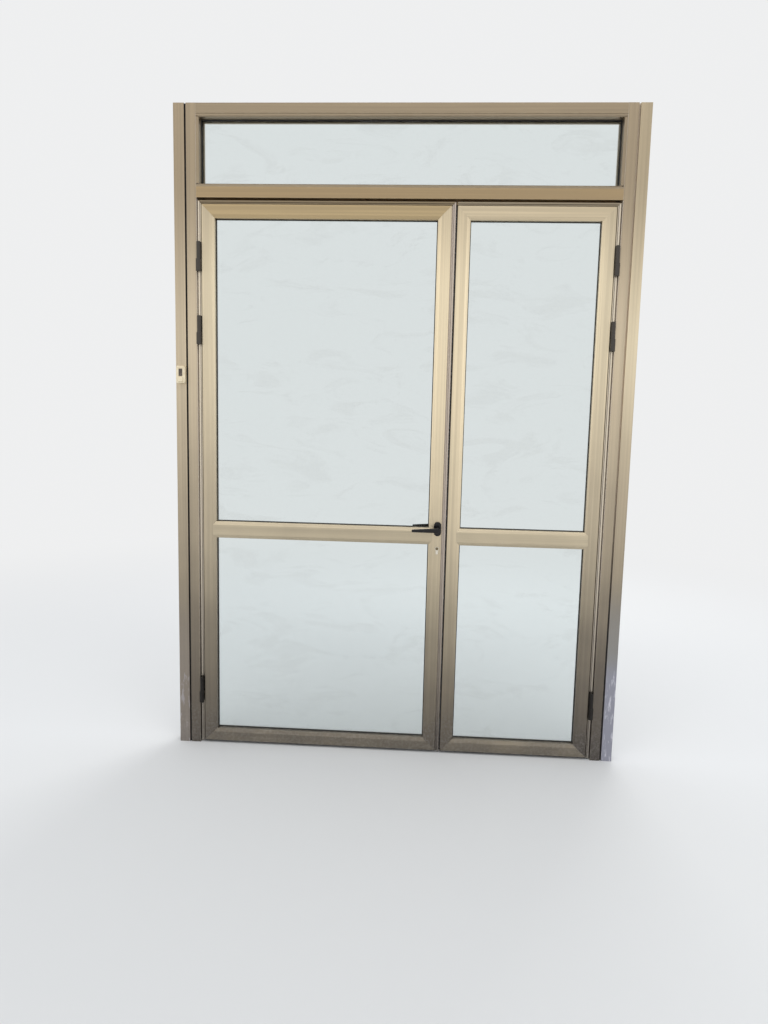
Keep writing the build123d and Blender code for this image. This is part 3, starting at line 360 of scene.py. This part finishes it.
def smear(m, color, dull, film, cloud):
    """A dried film near the floor with white smears on it."""
    level = m.uneven(cloud, FILM_UNEVEN)
    layer = m.ramp(level, film.top * FILM_FULL, film.top, film.share, 0.0)
    color = m.blend(layer, color, m.blend(m.ramp(level, *FILM_CHANGE), film.low_tone, film.high_tone))
    streaks = m.noise(1.0, detail=4.0, rough=0.65, vector=m.stretch(SMEAR_GRAIN))
    fade = m.ramp(level, film.smear_top * SMEARS_FULL, film.smear_top, SMEAR_MORE, SMEAR_LESS)
    wet = m.sum(m.sum(streaks, fade), m.ramp(level, *WASHED, WASHED_LESS, 0.0))
    white = m.ramp(wet, 0.56, 0.66, 0.0, film.smear_share)
    color = m.blend(white, color, SMEAR_WHITE)
    return color, m.sum(dull, m.sum(layer, m.product(white, 0.5)), clamp=True)


def shade_strip(m, color, dull, strip):
    """A strip of painted shade or painted highlight, such as the shade in a joint or the lit edge of a
    jamb.
    """
    across = m.absolute(m.x) if strip.along == "x" else m.z
    inside = m.product(m.band(across, strip.start, strip.end), m.band(m.y, strip.front, STRIP_BACK))
    inside = m.product(inside, m.ramp(m.z, *STRIP_CHANGE, strip.low_share, strip.share))
    if strip.matt:
        dull = m.sum(dull, m.product(inside, strip.matt), clamp=True)
    return m.blend(inside, color, strip.tone), dull


def scratch(m, color):
    """Fine scratches round the handle."""
    fine = m.noise(1.0, detail=2.0, rough=0.5, vector=m.stretch(SCRATCH_GRAIN), distortion=0.6)
    marks = m.product(m.ramp(fine, 0.60, 0.66), m.near(HANDLE, *SCRATCHED))
    return m.blend(m.product(marks, SCRATCH_SHARE), color, TAN_LIGHT)


def door_metal(node, seed):
    """Satin champagne aluminium: extrusion lines, grime towards the floor and worn edges."""
    m = Shader(node)
    look = LOOKS.get(node, PLAIN)
    grain = grain_of(node)
    lines = m.noise(1.0, detail=2.0, rough=0.6, vector=m.stretch(grain))
    cloud = m.noise(2.3 + seed, detail=4.0)
    rise = m.uneven(cloud, DIRT_UNEVEN)
    color, dull = weather(m, coat(m, look, rise, grain), rise, cloud)
    if look.film:
        color, dull = smear(m, color, dull, look.film, cloud)
    for strip in look.strips:
        color, dull = shade_strip(m, color, dull, strip)
    if look.scuffed:
        color = scratch(m, color)
    metallic = m.ramp(dull, 0.0, 1.0, CLEAN_METALLIC, DULL_METALLIC)
    rough = m.sum(m.ramp(lines, 0.3, 0.7, 0.30, 0.40), m.product(dull, 0.35))
    normal = m.bump(lines, distance=0.00006, normal=m.rounded(0.0006))
    return m.finish(Base_Color=color, Metallic=metallic, Roughness=rough, Normal=normal)


# Other materials of the object

BRUSHED = (1400, 1400, 120)   # grain of the bare metals
WIPED = (1.0, 1.0, 2.6)       # grain of the wiping marks on the glass


def dark_metal(name, color, low, worn_and_lit, rough, amount, shine):
    """Dark coated metal, rubbed and brightened on the edges as a painted highlight, and darker near the
    floor.
    """
    m = Shader(name)
    cast = m.noise(900.0, detail=2.0, rough=0.6)
    cloud = m.noise(40.0, detail=3.0)
    # rubbed edges, lightened as a painted edge highlight
    wear_and_highlight = m.product(m.edges(0.0009), m.ramp(cloud, 0.40, 0.60))
    shade = m.blend(m.ramp(m.z, 0.3, 1.5, 1.0, 0.0), color, low)
    shade = m.blend(m.product(wear_and_highlight, amount), shade, worn_and_lit)
    roughness = m.ramp(cloud, 0.3, 0.7, rough, rough + 0.10)
    normal = m.bump(cast, distance=0.00004, normal=m.rounded(0.0007))
    return m.finish(
        Base_Color=shade, Metallic=0.3, Roughness=roughness, Normal=normal, Specular_IOR_Level=shine)


def steel(name, color, rough):
    """Plain metal with fine brushing and a little tarnish."""
    m = Shader(name)
    lines = m.noise(1.0, detail=2.0, rough=0.5, vector=m.stretch(BRUSHED))
    cloud = m.noise(55.0, detail=4.0)
    shade = m.blend(m.ramp(cloud, 0.45, 0.75, 0.0, 0.5), color, TARNISH)
    roughness = m.ramp(lines, 0.3, 0.7, rough, rough + 0.14)
    normal = m.bump(lines, distance=0.00003, normal=m.rounded(0.0004))
    return m.finish(Base_Color=shade, Metallic=1.0, Roughness=roughness, Normal=normal)


def rubber(name):
    """Black gasket rubber with a dusty bloom; painted light makes the joint strip on the right pale higher
    up.
    """
    m = Shader(name)
    bloom = m.ramp(m.noise(70.0, detail=4.0, rough=0.6), 0.45, 0.75, 0.0, 0.30)
    color = m.blend(bloom, RUBBER, RUBBER_BLOOM)
    right = m.ramp(m.x, JAMB_BACK - 0.015, JAMB_BACK - 0.010)
    # painted light on the joint strip on the right, higher up
    color = m.blend(m.product(right, m.ramp(m.z, 0.5, 1.5, 0.0, 0.85)), color, JOINT_LIT)
    grit = m.noise(1500.0, detail=1.0)
    normal = m.bump(grit, distance=0.00003, normal=m.rounded(0.0004))
    return m.finish(Base_Color=color, Roughness=0.62, Normal=normal)


def glass(name, seed):
    """Clear float glass with wiping marks and settled dust near its lower edge."""
    m = Shader(name)
    wipe = m.noise(3.0 + seed, detail=3.0, rough=0.6, vector=m.stretch(WIPED), distortion=1.2)
    specks = m.noise(240.0, detail=2.0, rough=0.7)
    film = m.product(m.ramp(wipe, 0.50, 0.68), 0.05)
    grains = m.product(m.ramp(specks, 0.66, 0.72), 0.22)
    low = m.ramp(m.z, 0.05, 0.50, 1.0, 0.15)
    amount = m.sum(film, m.product(grains, low), clamp=True)
    clear = m.principled(Base_Color=GLASS, Roughness=0.0, IOR=1.5, Transmission_Weight=1.0)
    dusty = m.principled(Base_Color=GLASS_DUST, Roughness=0.9)
    return m.output(m.mix(amount, clear, dusty))


def plastic(name, color, tired, rough, edge_radius):
    """Moulded plastic, a little yellowed and dusty in its hollows."""
    m = Shader(name)
    cloud = m.noise(60.0, detail=4.0)
    shade = m.blend(m.ramp(cloud, 0.40, 0.70, 0.0, 0.6), color, tired)
    roughness = m.ramp(cloud, 0.3, 0.7, rough, rough + 0.12)
    grit = m.noise(2200.0, detail=1.0)
    normal = m.bump(grit, distance=0.00002, normal=m.rounded(edge_radius))
    return m.finish(Base_Color=shade, Roughness=roughness, Normal=normal)


def brush_pile(name):
    """Dark bristles with a little dust between them."""
    m = Shader(name)
    dusty = m.ramp(m.noise(300.0, detail=3.0), 0.45, 0.7, 0.0, 0.6)
    return m.finish(Base_Color=m.blend(dusty, BRISTLE, BRISTLE_DUST), Roughness=0.75)


finishes = {
    "hinge_metal": dark_metal(
        "hinge_bronze", color=(0.060, 0.052, 0.044, 1), low=(0.014, 0.012, 0.010, 1),
        worn_and_lit=(0.13, 0.11, 0.085, 1), rough=0.34, amount=0.4, shine=0.30),
    "lever_metal": dark_metal(
        "lever_black", color=(0.008, 0.007, 0.008, 1), low=(0.008, 0.007, 0.008, 1),
        worn_and_lit=(0.07, 0.065, 0.06, 1), rough=0.12, amount=0.25, shine=0.45),
    "steel": steel("plain_steel", color=(0.56, 0.56, 0.57, 1), rough=0.26),
    "cylinder_metal": steel("nickel", color=(0.80, 0.75, 0.64, 1), rough=0.20),
    "bare_aluminium": steel("mill_aluminium", color=(0.66, 0.66, 0.67, 1), rough=0.34),
    "black_rubber": rubber("gasket_rubber"),
    "packer_plastic": plastic(
        "packer_grey", color=(0.11, 0.12, 0.13, 1), tired=(0.16, 0.16, 0.16, 1), rough=0.5,
        edge_radius=0.0005),
    "cream_plastic": plastic(
        "bell_cream", color=(0.80, 0.69, 0.49, 1), tired=(0.62, 0.49, 0.31, 1), rough=0.30,
        edge_radius=0.0008),
    "dark_plastic": plastic(
        "bell_smoke", color=(0.075, 0.058, 0.045, 1), tired=(0.13, 0.10, 0.08, 1), rough=0.16,
        edge_radius=0.0005),
}


def material_for(node, kind, seed):
    """The material of a node: metal and glass have one of their own, all else shares a finish."""
    if kind == "door_metal":
        return door_metal(node, seed)
    if kind == "clear_glass":
        return glass(node, seed)
    if node == "key_plug":
        return steel("plug_brass", PLUG_BRASS, 0.30)
    return finishes[kind]


SEED_STEP = 0.37              # moves the clouds from piece to piece
slots = {part["node"]: part["material_slot"] for part in frame["record"]["subparts"]}
for index, (name, obj) in enumerate(sorted(frame["nodes"].items())):
    if slots[name] == "brush_pile":
        continue
    material = material_for(name, slots[name], (index * SEED_STEP) % 1.0)
    obj.data.materials.clear()
    obj.data.materials.append(material)


# Brushes: rows of fine bristles in a thin metal back

BRISTLE_HALF = 0.00018        # half the width of a bristle at its foot
TIP_WIDTH = 0.8               # width at the tip, as a share of that at the foot
SHORTEST = 0.96               # shortest bristle, as a share of the longest
FOOT_SPREAD = 0.42            # feet to either side of the middle, as a share of the brush's width
LEAN_ALONG = 0.0003
LEAN_ACROSS = 0.04            # as a share of the brush's width
LOW_PITCH = 0.00025           # between the bristles of the bottom brushes
LOW_BACK = 0.45               # height of the metal back, as a share of the brush's
MEETING_PITCH = 0.00012
MEETING_BACK = 0.70
MEETING_REACH = 0.0049        # how far the meeting brush reaches into the 5 mm gap
MEETING_FOOT = 0.012          # its lower end over the floor
TIP_CLEARANCE = 0.0003        # bristle tips over the floor


def brush_mesh(name, start, end, across, reach, back, pitch):
    """Bristles between two points: across is the width direction, reach the way the bristles go."""
    rng = random.Random(name)
    along = (end - start).normalized()
    count = int((end - start).length / pitch)
    verts, faces = [], []
    for i in range(count):
        foot = start.lerp(end, (i + rng.random()) / count) + across * rng.uniform(-FOOT_SPREAD, FOOT_SPREAD)
        lean = along * rng.gauss(0, LEAN_ALONG) + across * rng.gauss(0, LEAN_ACROSS)
        tip = foot + reach * rng.uniform(SHORTEST, 1.0) + lean
        half = (along + across.normalized() * rng.uniform(-1, 1)) * BRISTLE_HALF
        base = len(verts)
        verts += [foot - half, foot + half, tip + half * TIP_WIDTH, tip - half * TIP_WIDTH]
        faces.append((base, base + 1, base + 2, base + 3))
    a = len(verts)
    for point in (start, end):
        for side, level in ((-0.5, 0), (0.5, 0), (0.5, 1), (-0.5, 1)):
            verts.append(point + across * side + reach * back * level)
    faces += [(a, a + 1, a + 2, a + 3), (a + 7, a + 6, a + 5, a + 4)]
    faces += [(a + k, a + 4 + k, a + 4 + (k + 1) % 4, a + (k + 1) % 4) for k in range(4)]
    mesh = bpy.data.meshes.new(name)
    mesh.from_pydata([tuple(v) for v in verts], [], faces)
    mesh.update()
    return mesh


def brush(name, body, low, high, level):
    """Brush in the box from low to high: a level one hangs down, an upright one reaches to the left."""
    middle = (low[1] + high[1]) / 2
    across = Vector((0, high[1] - low[1], 0))
    end = Vector((high[0], middle, high[2]))
    if level:
        start, reach = Vector((low[0], middle, high[2])), Vector((0, 0, low[2] - high[2]))
        mesh = brush_mesh(name, start, end, across, reach, LOW_BACK, LOW_PITCH)
    else:
        start, reach = Vector((high[0], middle, low[2])), Vector((low[0] - high[0], 0, 0))
        mesh = brush_mesh(name, start, end, across, reach, MEETING_BACK, MEETING_PITCH)
    mesh.materials.append(brush_pile(name))
    obj = bpy.data.objects.new(name, mesh)
    bpy.context.scene.collection.objects.link(obj)
    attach(obj, body)
    return obj


main_low, main_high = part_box("main_bottom_brush")
side_low, side_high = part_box("side_brushes")
brush_thickness = main_high.y - main_low.y
setback = MAIN_EDGE - main_high.x

main_bottom = brush(
    "main_bristles", "main_leaf", (main_low.x, main_low.y, TIP_CLEARANCE), main_high, level=True)
side_bottom = brush(
    "side_bristles", "side_leaf", (SIDE_EDGE + setback, main_low.y, TIP_CLEARANCE),
    (side_high.x, main_high.y, main_high.z), level=True)
side_meeting = brush(
    "meeting_bristles", "side_leaf", (SIDE_EDGE - MEETING_REACH, side_low.y, MEETING_FOOT),
    (SIDE_EDGE, side_low.y + brush_thickness, side_high.z), level=False)
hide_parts("main_bottom_brush")
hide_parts("side_brushes")
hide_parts("side_brushes")


# Studio

SKY_STRENGTH = 0.95
PALE_STRENGTH = 1.0
FLOOR_RADIUS = 14.0
FLOOR_DROP = 0.0005           # the floor lies this far under the part
FLOOR_FADE = (1.6, 6.0)       # it turns into the background between these distances

world = bpy.data.worlds.new("studio")
bpy.context.scene.world = world
world.use_nodes = True
sky = Nodes(world.node_tree)
lit = sky.node("ShaderNodeBackground", {"Color": SKY, "Strength": SKY_STRENGTH}).outputs[0]
plain = sky.node("ShaderNodeBackground", {"Color": PALE, "Strength": PALE_STRENGTH}).outputs[0]
sky.node("ShaderNodeOutputWorld", {"Surface": sky.mix(sky.seen(), lit, plain)})

bpy.ops.mesh.primitive_circle_add(
    vertices=96, radius=FLOOR_RADIUS, fill_type="NGON", location=(0, 0, -FLOOR_DROP))
floor = bpy.context.object
floor.name = "studio_floor"
ground = Shader("studio_floor")
away = ground.node("ShaderNodeVectorMath", {0: ground.coord}, operation="LENGTH").outputs["Value"]
far = ground.product(ground.ramp(away, *FLOOR_FADE), ground.seen())
paint = ground.node("ShaderNodeBsdfDiffuse", {"Color": FLOOR}).outputs[0]
glow = ground.node("ShaderNodeEmission", {"Color": PALE, "Strength": PALE_STRENGTH}).outputs[0]
floor.data.materials.append(ground.output(ground.mix(far, paint, glow)))


def area_light(name, spot, aim, size, power, color, mirrored=True):
    """Soft rectangular lamp at spot, turned towards aim."""
    data = bpy.data.lights.new(name, "AREA")
    data.shape = "RECTANGLE"
    data.size, data.size_y = size
    data.energy = power
    data.color = color
    obj = bpy.data.objects.new(name, data)
    obj.location = spot
    obj.rotation_euler = (Vector(aim) - Vector(spot)).to_track_quat("-Z", "Y").to_euler()
    obj.visible_camera = False
    obj.visible_transmission = False
    obj.visible_glossy = mirrored
    bpy.context.scene.collection.objects.link(obj)


area_light(
    "key", spot=(-6.2, -4.4, 3.2), aim=(0, 0, 1.3), size=(8.0, 5.6), power=42, color=(1.0, 0.98, 0.95))
area_light(
    "fill", spot=(5.6, -4.4, 2.8), aim=(0, 0, 1.1), size=(6.5, 4.8), power=28, color=(0.95, 0.97, 1.0))
area_light(
    "front", spot=(0.0, -3.4, 6.6), aim=(0, 0, 1.2), size=(6.0, 2.0), power=100, color=(1.0, 0.99, 0.97))
area_light(
    "back", spot=(1.5, 4.4, 4.4), aim=(0, 0, 1.3), size=(3.0, 2.0), power=110, color=(1.0, 1.0, 1.0),
    mirrored=False)


# Camera, where the photograph was taken from

CAMERA_SPOT = (0.1283, -3.2524, 1.4832)
CAMERA_PITCH = math.radians(7.43)     # looking down
CAMERA_YAW = math.radians(-3.355)
CAMERA_ROLL = math.radians(1.302)
FOCAL_PIXELS = 769.0
FRAME_PIXELS = 1024.0                 # longer side of the picture
SENSOR = 36.0                         # in mm

forward = Vector((
    math.sin(CAMERA_YAW) * math.cos(CAMERA_PITCH),
    math.cos(CAMERA_YAW) * math.cos(CAMERA_PITCH),
    -math.sin(CAMERA_PITCH),
))
right = Vector((math.cos(CAMERA_YAW), -math.sin(CAMERA_YAW), 0))
up = right.cross(forward)
rolled_right = right * math.cos(CAMERA_ROLL) + up * math.sin(CAMERA_ROLL)
rolled_up = up * math.cos(CAMERA_ROLL) - right * math.sin(CAMERA_ROLL)
camera_data = bpy.data.cameras.new("photo_camera")
camera_data.sensor_width = SENSOR
camera_data.lens = FOCAL_PIXELS / FRAME_PIXELS * SENSOR
camera = bpy.data.objects.new("photo_camera", camera_data)
basis = Matrix((rolled_right, rolled_up, -forward)).transposed().to_4x4()
camera.matrix_world = Matrix.Translation(CAMERA_SPOT) @ basis
bpy.context.scene.collection.objects.link(camera)
bpy.context.scene.camera = camera
bpy.context.scene.view_settings.view_transform = "Standard"
